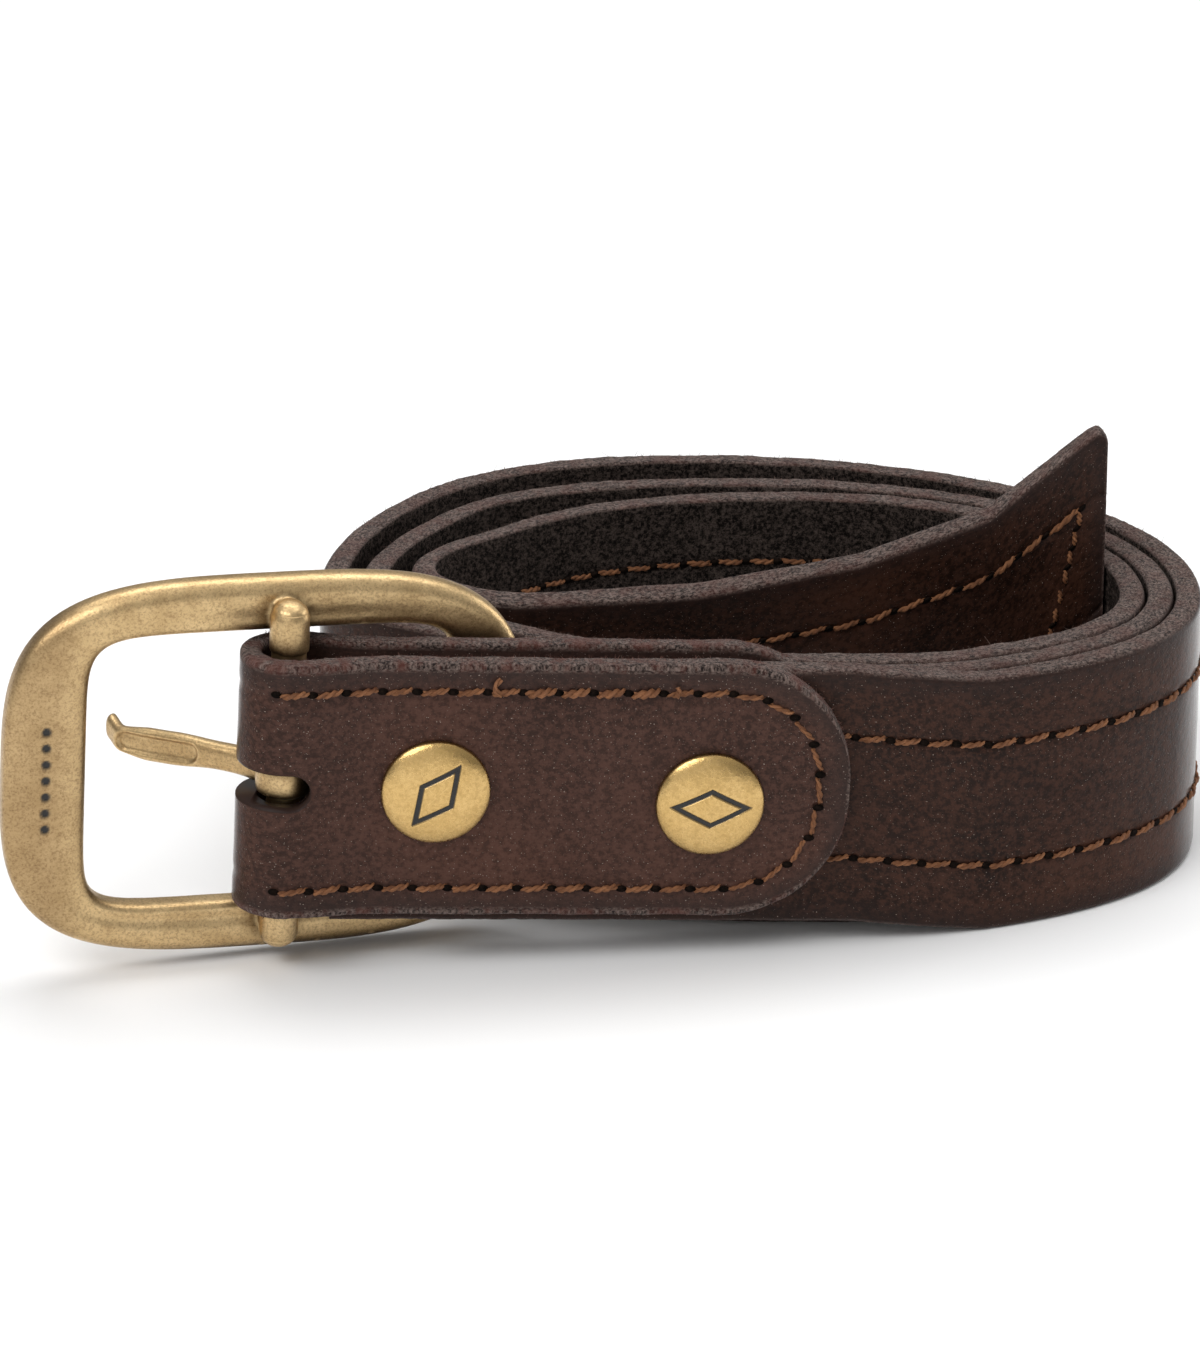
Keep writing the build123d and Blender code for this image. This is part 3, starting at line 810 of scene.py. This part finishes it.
def make_tab():
    path = tab_path()
    outline = tab_outline()
    holes = tab_spots()
    points, strips, edges, fleshes, insets = [], [], [], [], []
    run = 0.0
    for i, (x, z) in enumerate(path):
        before, after = path[max(i - 1, 0)], path[min(i + 1, len(path) - 1)]
        dx, dz = after[0] - before[0], after[1] - before[1]
        size = math.hypot(dx, dz)
        out_x, out_z = dz / size * -1, dx / size
        if (out_x * x + out_z * z < 0 and x < 0) or (x >= 0 and out_z * z < 0):
            out_x, out_z = -out_x, -out_z
        run += math.dist(before, (x, z))
        width = half_width(abs(x) if x > 0 else 0.0)
        end = smooth(0.5, 0.0, TAB_LENGTH - x)
        for share, inset, height, edge in outline:
            spot = (run, share * width, z + height)
            edge_rough = 0.2 * rough(spot, 0.2, 3.0) + 0.14 * rough(spot, 1.6)
            reach = share * max(width - inset, 0.05) + (1 if share > 0 else -1) * edge * edge_rough
            from_edge = min(width - abs(share) * width, TAB_LENGTH - x)
            lump = height + 0.06 * rough(spot, 0.15) * (1 - edge)
            if height > 0 and abs(from_edge - TAB_ROW) < 2.0:
                near = min(math.dist((x, share * width), hole) for hole in holes)
                channel = 0.14 * math.exp(-((from_edge - TAB_ROW) / 0.8) ** 2)
                lump -= channel + 0.28 * math.exp(-(near / 0.8) ** 2)
            points.append(on_tab(x + out_x * lump, reach, z + out_z * lump))
            strips.append(spot)
            edges.append(max(edge, end, smooth(0.35, 0.0, from_edge)))
            fleshes.append(0.0)
            insets.append(from_edge)
    piece = new_piece("buckle_tab_leather", points, tube_faces(len(path), len(outline)), "belt",
                      TAB_LEATHER, ("buckle_tab",),
                      {"edge": edges, "flesh": fleshes, "inset": insets}, {"strip": strips})
    half = SLOT_WIDTH / 2
    shape = [(-12.0, -half - 0.4), (-FOLD_RADIUS, -half), (SLOT_END - half, -half)]
    for angle in range(-75, 90, 15):
        cos_a, sin_a = turned(angle)
        shape.append((SLOT_END - half + half * cos_a, half * sin_a))
    shape += [(SLOT_END - half, half), (-FOLD_RADIUS, half), (-12.0, half + 0.4)]
    tool = [on_tab(x, y, z) for z in (-12.0, 12.0) for x, y in shape]
    cut(piece, "prong_slot", tool, tube_faces(2, len(shape)))


def tab_spots():
    """Awl holes round the tab, along the upper row, the end and back along the lower row."""
    half = TAB_WIDTH / 2 - TAB_ROW
    radius = TAB_END_RADIUS - TAB_ROW
    corner = TAB_LENGTH - TAB_END_RADIUS
    path = [(-2.0 + k * 0.1, half) for k in range(int((corner + 2.0) * 10))]
    for angle in range(90, -1, -1):
        cos_a, sin_a = turned(angle)
        path.append((corner + radius * cos_a, half - radius + radius * sin_a))
    path += [(x, -y) for x, y in reversed(path)]
    spots, left = [path[0]], STITCH_PITCH
    for here, after in zip(path, path[1:]):
        left -= math.dist(here, after)
        if left <= 0:
            spots.append(after)
            left += STITCH_PITCH
    return spots


def make_tab_threads():
    for side, face in ((1, "front"), (-1, "back")):
        def surface(x, y, height):
            level = layer_height(x) + TAB_THICK / 2
            if x >= 0:
                return on_tab(x, y, side * (level + height))
            cos_a, sin_a = turned(90 + math.degrees(-x / (FOLD_RADIUS + TAB_THICK / 2)))
            reach = FOLD_RADIUS + TAB_THICK / 2 + height
            return on_tab(reach * cos_a, y, side * reach * sin_a)

        def normal_at(x, y):
            return tab_front * side

        def sizes(x, y):
            if y > 0 and BACK_TACK[0] < x < BACK_TACK[1] and side > 0:
                return 1.45
            return 0.86 if x > TAB_LENGTH - TAB_END_RADIUS else 1.05

        thread = Thread()
        thread.row(surface, tab_spots(), normal_at, sizes)
        if side > 0:
            row = TAB_WIDTH / 2 - TAB_ROW
            for x, lean_x, tall in LOOSE_ENDS:
                thread.run(lambda share: on_tab(x + lean_x * math.sin(3 * share), row - 0.3 + tall * share,
                                                TAB_FACE + 0.35 + 0.3 * math.sin(3.1 * share)),
                           tab_front, 0.26, 0.8)
        thread.make(f"tab_stitches_{face}", (f"tab_thread_{face}",))


# ---------------------------------------------------------------- loose fibres

class Fuzz:
    """Short loose fibres, each a thin three-sided hair."""

    RINGS = 4
    SIDES = 3

    def __init__(self):
        self.points, self.faces, self.strands = [], [], []

    def hair(self, root, outward_way, length, radius=0.045, stray=0.9):
        way = outward_way + Vector([rng.uniform(-stray, stray) for _ in range(3)])
        bend = Vector([rng.uniform(-1, 1) for _ in range(3)]) * length * 0.45
        side = way.orthogonal().normalized()
        other = way.normalized().cross(side)
        first = len(self.points)
        tone = rng.uniform(0, 50)
        for i in range(self.RINGS):
            share = i / (self.RINGS - 1)
            centre = root + way.normalized() * length * share + bend * share * share
            for k in range(self.SIDES):
                cos_a, sin_a = turned(120 * k)
                self.points.append(centre + (side * cos_a + other * sin_a) * radius * (1 - 0.75 * share))
                self.strands.append((tone, 0.0, 0.0))
        self.faces += tube_faces(self.RINGS, self.SIDES, first)

    def make(self, name, slot, material):
        new_piece(name, self.points, self.faces, "belt", material, vectors={"strand": self.strands})


def make_fuzz():
    strap_fuzz = Fuzz()
    for top, count in STRAP_HAIRS:
        for _ in range(count):
            length = rng.uniform(2.0, strap.total - 0.5)
            middle, out, up = strap.at(length)
            reach_up = STRAP_WIDTH / 2 - 0.12 - corner_cut(strap.total - length, TIP_CORNERS[top > 0])
            root = middle + up * top * reach_up + out * rng.uniform(-1.5, 1.3)
            reach = rng.uniform(0.2, 0.6) if rng.random() < 0.94 else rng.uniform(0.6, 1.4)
            if top < 0:
                root += up * 0.2
                reach = min(reach, 0.3)
            strap_fuzz.hair(root, up * top * 0.6, reach)
    for _ in range(TIP_HAIRS):
        middle, out, up = strap.at(strap.total - 0.02)
        v = rng.uniform(-STRAP_WIDTH / 2 + TIP_CORNERS[0], STRAP_WIDTH / 2 - TIP_CORNERS[1])
        strap_fuzz.hair(middle + out * rng.uniform(-1.6, 1.6) + up * v, up.cross(out) * -0.6,
                        rng.uniform(0.15, 0.6))
    strap_fuzz.make("strap_fibres", "strap_leather", STRAP_FIBRE)

    tab_fuzz = Fuzz()
    for _ in range(TAB_HAIRS):
        x = rng.uniform(-3.0, TAB_LENGTH - 0.3)
        side = rng.choice((1, -1))
        top = 1 if rng.random() < 0.75 else -1
        slope = (half_width(x + 0.1) - half_width(x - 0.1)) / 0.2 if x > 1 else 0.0
        way = (tab_up * top - tab_x * slope).normalized()
        root = on_tab(x, top * (half_width(max(x, 0.0)) - 0.15), side * (layer_height(max(x, 0.0)) +
                                                                        rng.uniform(-1.2, 0.9)))
        tab_fuzz.hair(root, way * 0.7, rng.uniform(0.15, 0.55))
    for _ in range(TAB_END_HAIRS):
        y = rng.uniform(-10, 10)
        x = TAB_LENGTH - 0.1 - max(abs(y) - 1.8, 0.0) ** 2 / (2 * TAB_END_RADIUS)
        tab_fuzz.hair(on_tab(x, y, rng.choice((1, -1)) * (TAB_LAYER + rng.uniform(-1.2, 0.9))),
                      tab_x * 0.7, rng.uniform(0.15, 0.5))
    tab_fuzz.make("tab_fibres", "tab_leather", TAB_FIBRE)


# ---------------------------------------------------------------- metal

def power_radius(cos_a, sin_a, wide, tall, power):
    """Distance from the middle to a squared-off oval."""
    return (abs(cos_a / wide) ** power + abs(sin_a / tall) ** power) ** (-1 / power)


def remeshed(piece, voxel, smoothing, locate):
    """Joins the piece's overlapping shells into one skin and rounds their meeting."""
    skin = piece.modifiers.new("skin", "REMESH")
    skin.mode = "VOXEL"
    skin.voxel_size = voxel * MM
    soft = piece.modifiers.new("soft", "SMOOTH")
    soft.iterations = smoothing
    soft.factor = 0.5
    apply_modifiers(piece)
    mark_local(piece.data, locate)


def mark_local(mesh, locate):
    """Each point's place in the part's own frame, for its material."""
    spots = [locate(v.co / MM - SHIFT) for v in mesh.vertices]
    flat = [number for spot in spots for number in spot]
    mesh.attributes.new("local", "FLOAT_VECTOR", "POINT").data.foreach_set("vector", flat)


def frame_shell():
    """The frame's ring: a rounded section between the window and the outline."""
    wide = (FRAME_LEFT + FRAME_RIGHT) / 2
    middle = (FRAME_RIGHT - FRAME_LEFT) / 2
    window_wide = wide - (SIDE_LEFT + SIDE_RIGHT) / 2
    shift = (SIDE_LEFT - SIDE_RIGHT) / 2
    tall = FRAME_HEIGHT / 2
    sides, count = 36, 320
    points = []
    for i in range(count):
        cos_a, sin_a = turned(360 * i / count)
        outer = power_radius(cos_a, sin_a, wide, tall, OUTER_POWER)
        inner = power_radius(cos_a, sin_a, window_wide, tall - SIDE_TOP, WINDOW_POWER)
        far = Vector((middle + outer * cos_a, outer * sin_a))
        near = Vector((middle + shift + inner * cos_a, inner * sin_a))
        for k in range(sides):
            cos_s, sin_s = turned(360 * k / sides)
            across = 0.5 + 0.5 * math.copysign(abs(cos_s) ** (2 / SECTION_POWER), cos_s)
            rise = math.copysign(abs(sin_s) ** (2 / SECTION_POWER), sin_s) * FRAME_THICK / 2
            lower = smooth(0.3, 0.9, -sin_a) * 0.6 + smooth(0.6, 1.0, sin_a) * 0.25
            if rise > 0:
                rise -= lower * math.exp(-((across - 0.3) / 0.13) ** 2)
                rise -= 0.55 * smooth(0.72, 1.0, across) * smooth(0.2, 0.9, abs(sin_a))
            spot = near.lerp(far, across)
            points.append(on_frame(spot.x, spot.y, FRAME_MIDDLE + rise))
    return points, tube_faces(count, sides, closed=True)


def ball_rod(spots, locate, sides=24):
    """Points and faces of a rod along the frame's height: each spot is up, forward and radius."""
    points = []
    for y, z, radius in spots:
        for k in range(sides):
            cos_a, sin_a = turned(360 * k / sides)
            points.append(locate(radius * cos_a, y, z + radius * sin_a))
    return points, tube_faces(len(spots), sides)


def gather(shells):
    """One list of points and faces from several shells."""
    points, faces = [], []
    for more, sides in shells:
        faces += [tuple(len(points) + i for i in face) for face in sides]
        points += more
    return points, faces


def make_frame():
    """Cast frame with the bosses that hold the bar."""
    shells = [frame_shell()]
    reach = FRAME_HEIGHT / 2 - SIDE_TOP
    for side in (1, -1):
        boss = [(-1.6, 0.0, 2.75), (1.0, 0.0, 2.75), (3.4, 0.0, 2.7), (4.6, -0.1, 2.3), (5.3, -0.2, 1.5),
                (5.6, -0.3, 0.5)]
        root = [(-0.2, -2.6, 1.2), (0.5, -2.6, 2.0), (2.5, -2.8, 2.3), (4.4, -3.1, 2.0), (5.2, -3.3, 1.0)]
        for part in (boss, root):
            shells.append(ball_rod([(side * (reach + y), z, radius) for y, z, radius in part], on_frame))
    points, faces = gather(shells)
    piece = new_piece("buckle_frame_cast", points, faces, "buckle", CAST_BRASS,
                      ("buckle_frame",))
    remeshed(piece, voxel=0.3, smoothing=3, locate=frame_place)
    engrave(piece.data)


def engrave(mesh):
    """A row of plain round punch marks down the face of the left side."""
    marks = []
    for spot in mesh.attributes["local"].data:
        x, y, z = spot.vector
        number = min(max(round(y / PUNCH_PITCH), -PUNCH_REACH), PUNCH_REACH)
        beside = math.hypot(x - SIDE_LEFT / 2 + FRAME_LEFT, y - number * PUNCH_PITCH)
        marks.append(smooth(PUNCH_RADIUS + 0.2, PUNCH_RADIUS - 0.15, beside) if z > FRAME_MIDDLE else 0.0)
    mesh.attributes.new("ink", "FLOAT", "POINT").data.foreach_set("value", marks)
    back = (on_frame(0, 0, -1) - on_frame(0, 0, 0)) * MM
    for vertex, mark in zip(mesh.vertices, marks):
        vertex.co += back * 0.22 * mark


def prong_shaft():
    """Tapering shaft with a long shallow recess, drooping to a tip that is bent back."""
    sides, count = 48, 90
    recess_middle, recess_reach, recess_depth = RECESS
    points = []
    for i in range(count):
        along = 1.0 + (PRONG_LENGTH - 1.0) * i / (count - 1)
        share = along / PRONG_LENGTH
        wide = PRONG_WIDE - 0.5 * smooth(0.1, 0.2, share) + 0.9 * smooth(0.35, 0.6, share)
        wide += (PRONG_TIP_WIDE - PRONG_WIDE) * smooth(0.72, 0.9, share)
        thick = PRONG_THICK * (1 - 0.22 * smooth(0.2, 0.8, share))
        close = math.sqrt(max(1 - smooth(PRONG_LENGTH - 1.2, PRONG_LENGTH + 0.1, along) ** 2, 0.05))
        bend = -PRONG_BEND * smooth(0.0, 0.3, share) * (1 - share) / 0.7 - TIP_KICK * smooth(0.86, 1.0, share)
        droop = -PRONG_DROOP * smooth(0.2, 0.9, share) + 0.7 * smooth(0.88, 1.0, share)
        for k in range(sides):
            cos_s, sin_s = turned(360 * k / sides)
            y = math.copysign(abs(cos_s) ** 0.75, cos_s) * wide / 2 * close
            z = math.copysign(abs(sin_s) ** 0.75, sin_s) * thick / 2 * close
            if z > 0:
                ring = math.hypot(max(abs(along - recess_middle) - recess_reach, 0.0), y)
                z -= recess_depth * smooth(1.75, 0.95, ring)
            points.append(on_prong(-along, y + droop, z + bend))
    return points, tube_faces(count, sides)


def prong_eye():
    """Rounded ring round the bar."""
    inner = BAR_RADIUS + 0.08
    middle = (inner + EYE_RADIUS) / 2
    deep = (EYE_RADIUS - inner) / 2
    sides, count = 20, 64
    points = []
    for i in range(count):
        cos_a, sin_a = turned(360 * i / count)
        for k in range(sides):
            cos_s, sin_s = turned(360 * k / sides)
            radius = middle + deep * math.copysign(abs(cos_s) ** 0.6, cos_s)
            y = PRONG_WIDE / 2 * math.copysign(abs(sin_s) ** 0.6, sin_s)
            points.append(on_prong(radius * cos_a, y, radius * sin_a))
    return points, tube_faces(count, sides, closed=True)


def make_prong():
    shaft_points, shaft_faces = prong_shaft()
    shaft_points = [on_prong(min(x, -BAR_RADIUS - 0.35), y, z) for x, y, z in map(prong_place, shaft_points)]
    points, faces = gather([(shaft_points, shaft_faces), prong_eye()])
    piece = new_piece("prong_cast", points, faces, "prong", CAST_BRASS, ("prong",))
    remeshed(piece, voxel=0.17, smoothing=3, locate=prong_place)


def dome_height(radius):
    """Height of the cap's face over its seat, rounding over quickly near the rim."""
    share = radius / STUD_RADIUS
    return STUD_RIM + (STUD_DOME - STUD_RIM) * (1 - 0.72 * share ** 2.4 - 0.28 * share ** 14)


def make_studs():
    """Domed caps with a dark lozenge outline cut in each."""
    slope = math.hypot(1 / LOZENGE[0], 1 / LOZENGE[1])
    for number, (x, y, tilt) in enumerate(STUDS, 1):
        cos_t, sin_t = turned(tilt)
        rows = [(STUD_RADIUS * 0.985 * (k / 74), None) for k in range(1, 75)]
        rows += [(STUD_RADIUS * 0.998, STUD_RIM * 0.8), (STUD_RADIUS, STUD_RIM * 0.5), (STUD_RADIUS, 0.0),
                 (STUD_RADIUS - 0.5, -0.04)]
        sides = 220
        points, inks = [on_tab(x, y, TAB_FACE + STUD_DOME)], [0.0]
        for radius, level in rows:
            for k in range(sides):
                cos_a, sin_a = turned(360 * k / sides)
                px, py = radius * cos_a, radius * sin_a
                along, across = px * cos_t + py * sin_t, py * cos_t - px * sin_t
                beside = abs(math.hypot(abs(along) / LOZENGE[0] + abs(across) / LOZENGE[1], 0.06) - 1) / slope
                ink = smooth(LINE_WIDTH + 0.08, LINE_WIDTH - 0.08, beside)
                height = dome_height(radius) if level is None else level
                height += 0.03 * rough((px, py, number), 0.25)
                points.append(on_tab(x + px, y + py, TAB_FACE + height - 0.22 * ink))
                inks.append(ink)
        faces = [(0, 1 + k, 1 + (k + 1) % sides) for k in range(sides)]
        faces += tube_faces(len(rows), sides, first=1)[:-2]
        faces.append(tuple(1 + (len(rows) - 1) * sides + k for k in range(sides)))
        piece = new_piece(f"stud_cap_{number}_engraved", points, faces, "belt", SATIN_BRASS,
                          (f"stud_cap_{number}",), {"ink": inks})
        mark_local(piece.data, lambda p: p - BAR)


def finish_cad_nodes():
    """Bar and screws keep their CAD shape, with rounded edges and the brass of their neighbours."""
    for name, material in (("centre_bar", CAST_BRASS), ("stud_screw_1", SATIN_BRASS),
                           ("stud_screw_2", SATIN_BRASS)):
        node = frame["nodes"][name]
        node.data.materials.clear()
        node.data.materials.append(material)
        mark_local(node.data, lambda p: p - BAR)
        edge = node.modifiers.new("edge", "BEVEL")
        edge.width = 0.25 * MM
        edge.segments = 3
        edge.limit_method = "ANGLE"


# ---------------------------------------------------------------- floor, light and camera

def make_floor():
    mesh = bpy.data.meshes.new("floor")
    reach = 4.0
    mesh.from_pydata([(-reach, -reach, 0), (reach, -reach, 0), (reach, reach, 0), (-reach, reach, 0)],
                     [], [(0, 1, 2, 3)])
    floor = bpy.data.objects.new("floor", mesh)
    scene.collection.objects.link(floor)
    s = Shader("pale_floor")
    mesh.materials.append(s.finish(Base_Color=(0.92, 0.92, 0.92, 1.0), Roughness=0.9,
                                   Specular_IOR_Level=0.1))


def make_light(name, spot, size, power):
    lamp = bpy.data.lights.new(name, "AREA")
    lamp.shape = "RECTANGLE"
    lamp.size, lamp.size_y = size
    lamp.energy = power
    holder = bpy.data.objects.new(name, lamp)
    holder.location = spot
    holder.rotation_euler = (-Vector(spot)).to_track_quat("-Z", "Y").to_euler()
    scene.collection.objects.link(holder)


def make_studio():
    world = bpy.data.worlds.new("studio")
    scene.world = world
    world.use_nodes = True
    tree = world.node_tree
    way = tree.nodes.new("ShaderNodeTexCoord").outputs["Generated"]
    split = tree.nodes.new("ShaderNodeSeparateXYZ")
    tree.links.new(way, split.inputs[0])
    fade = tree.nodes.new("ShaderNodeValToRGB")
    tree.links.new(split.outputs["Z"], fade.inputs["Fac"])
    for mark, (position, level) in zip(fade.color_ramp.elements, ((0.0, 0.2), (0.9, 0.75))):
        mark.position = position
        mark.color = (level, level, level, 1.0)
    tree.links.new(fade.outputs["Color"], tree.nodes["Background"].inputs["Color"])
    tree.nodes["Background"].inputs["Strength"].default_value = 0.8
    make_light("key", (-0.55, -0.75, 1.05), (0.9, 0.6), 9.0)
    make_light("top", (0.1, 0.35, 1.1), (1.2, 0.6), 7.0)
    make_light("side", (1.2, 0.55, 0.28), (0.6, 0.8), 6.0)
    make_light("front", (-0.2, -1.7, 0.35), (2.2, 1.2), 3.9)
    scene.view_settings.view_transform = "Standard"


def make_camera():
    cos_e, sin_e = turned(CAMERA_ELEVATION)
    aim = place(CAMERA_AIM)
    camera = bpy.data.cameras.new("camera")
    camera.lens = LENS
    camera.sensor_width = 36.0
    camera.sensor_fit = "AUTO"
    holder = bpy.data.objects.new("camera", camera)
    holder.location = aim + Vector((0.0, -cos_e, sin_e)) * CAMERA_DISTANCE * MM
    holder.rotation_euler = (aim - holder.location).to_track_quat("-Z", "Y").to_euler()
    scene.collection.objects.link(holder)
    scene.camera = holder


make_strap()
make_strap_threads()
make_tab()
make_tab_threads()
make_fuzz()
make_frame()
make_prong()
make_studs()
finish_cad_nodes()
make_floor()
make_studio()
make_camera()
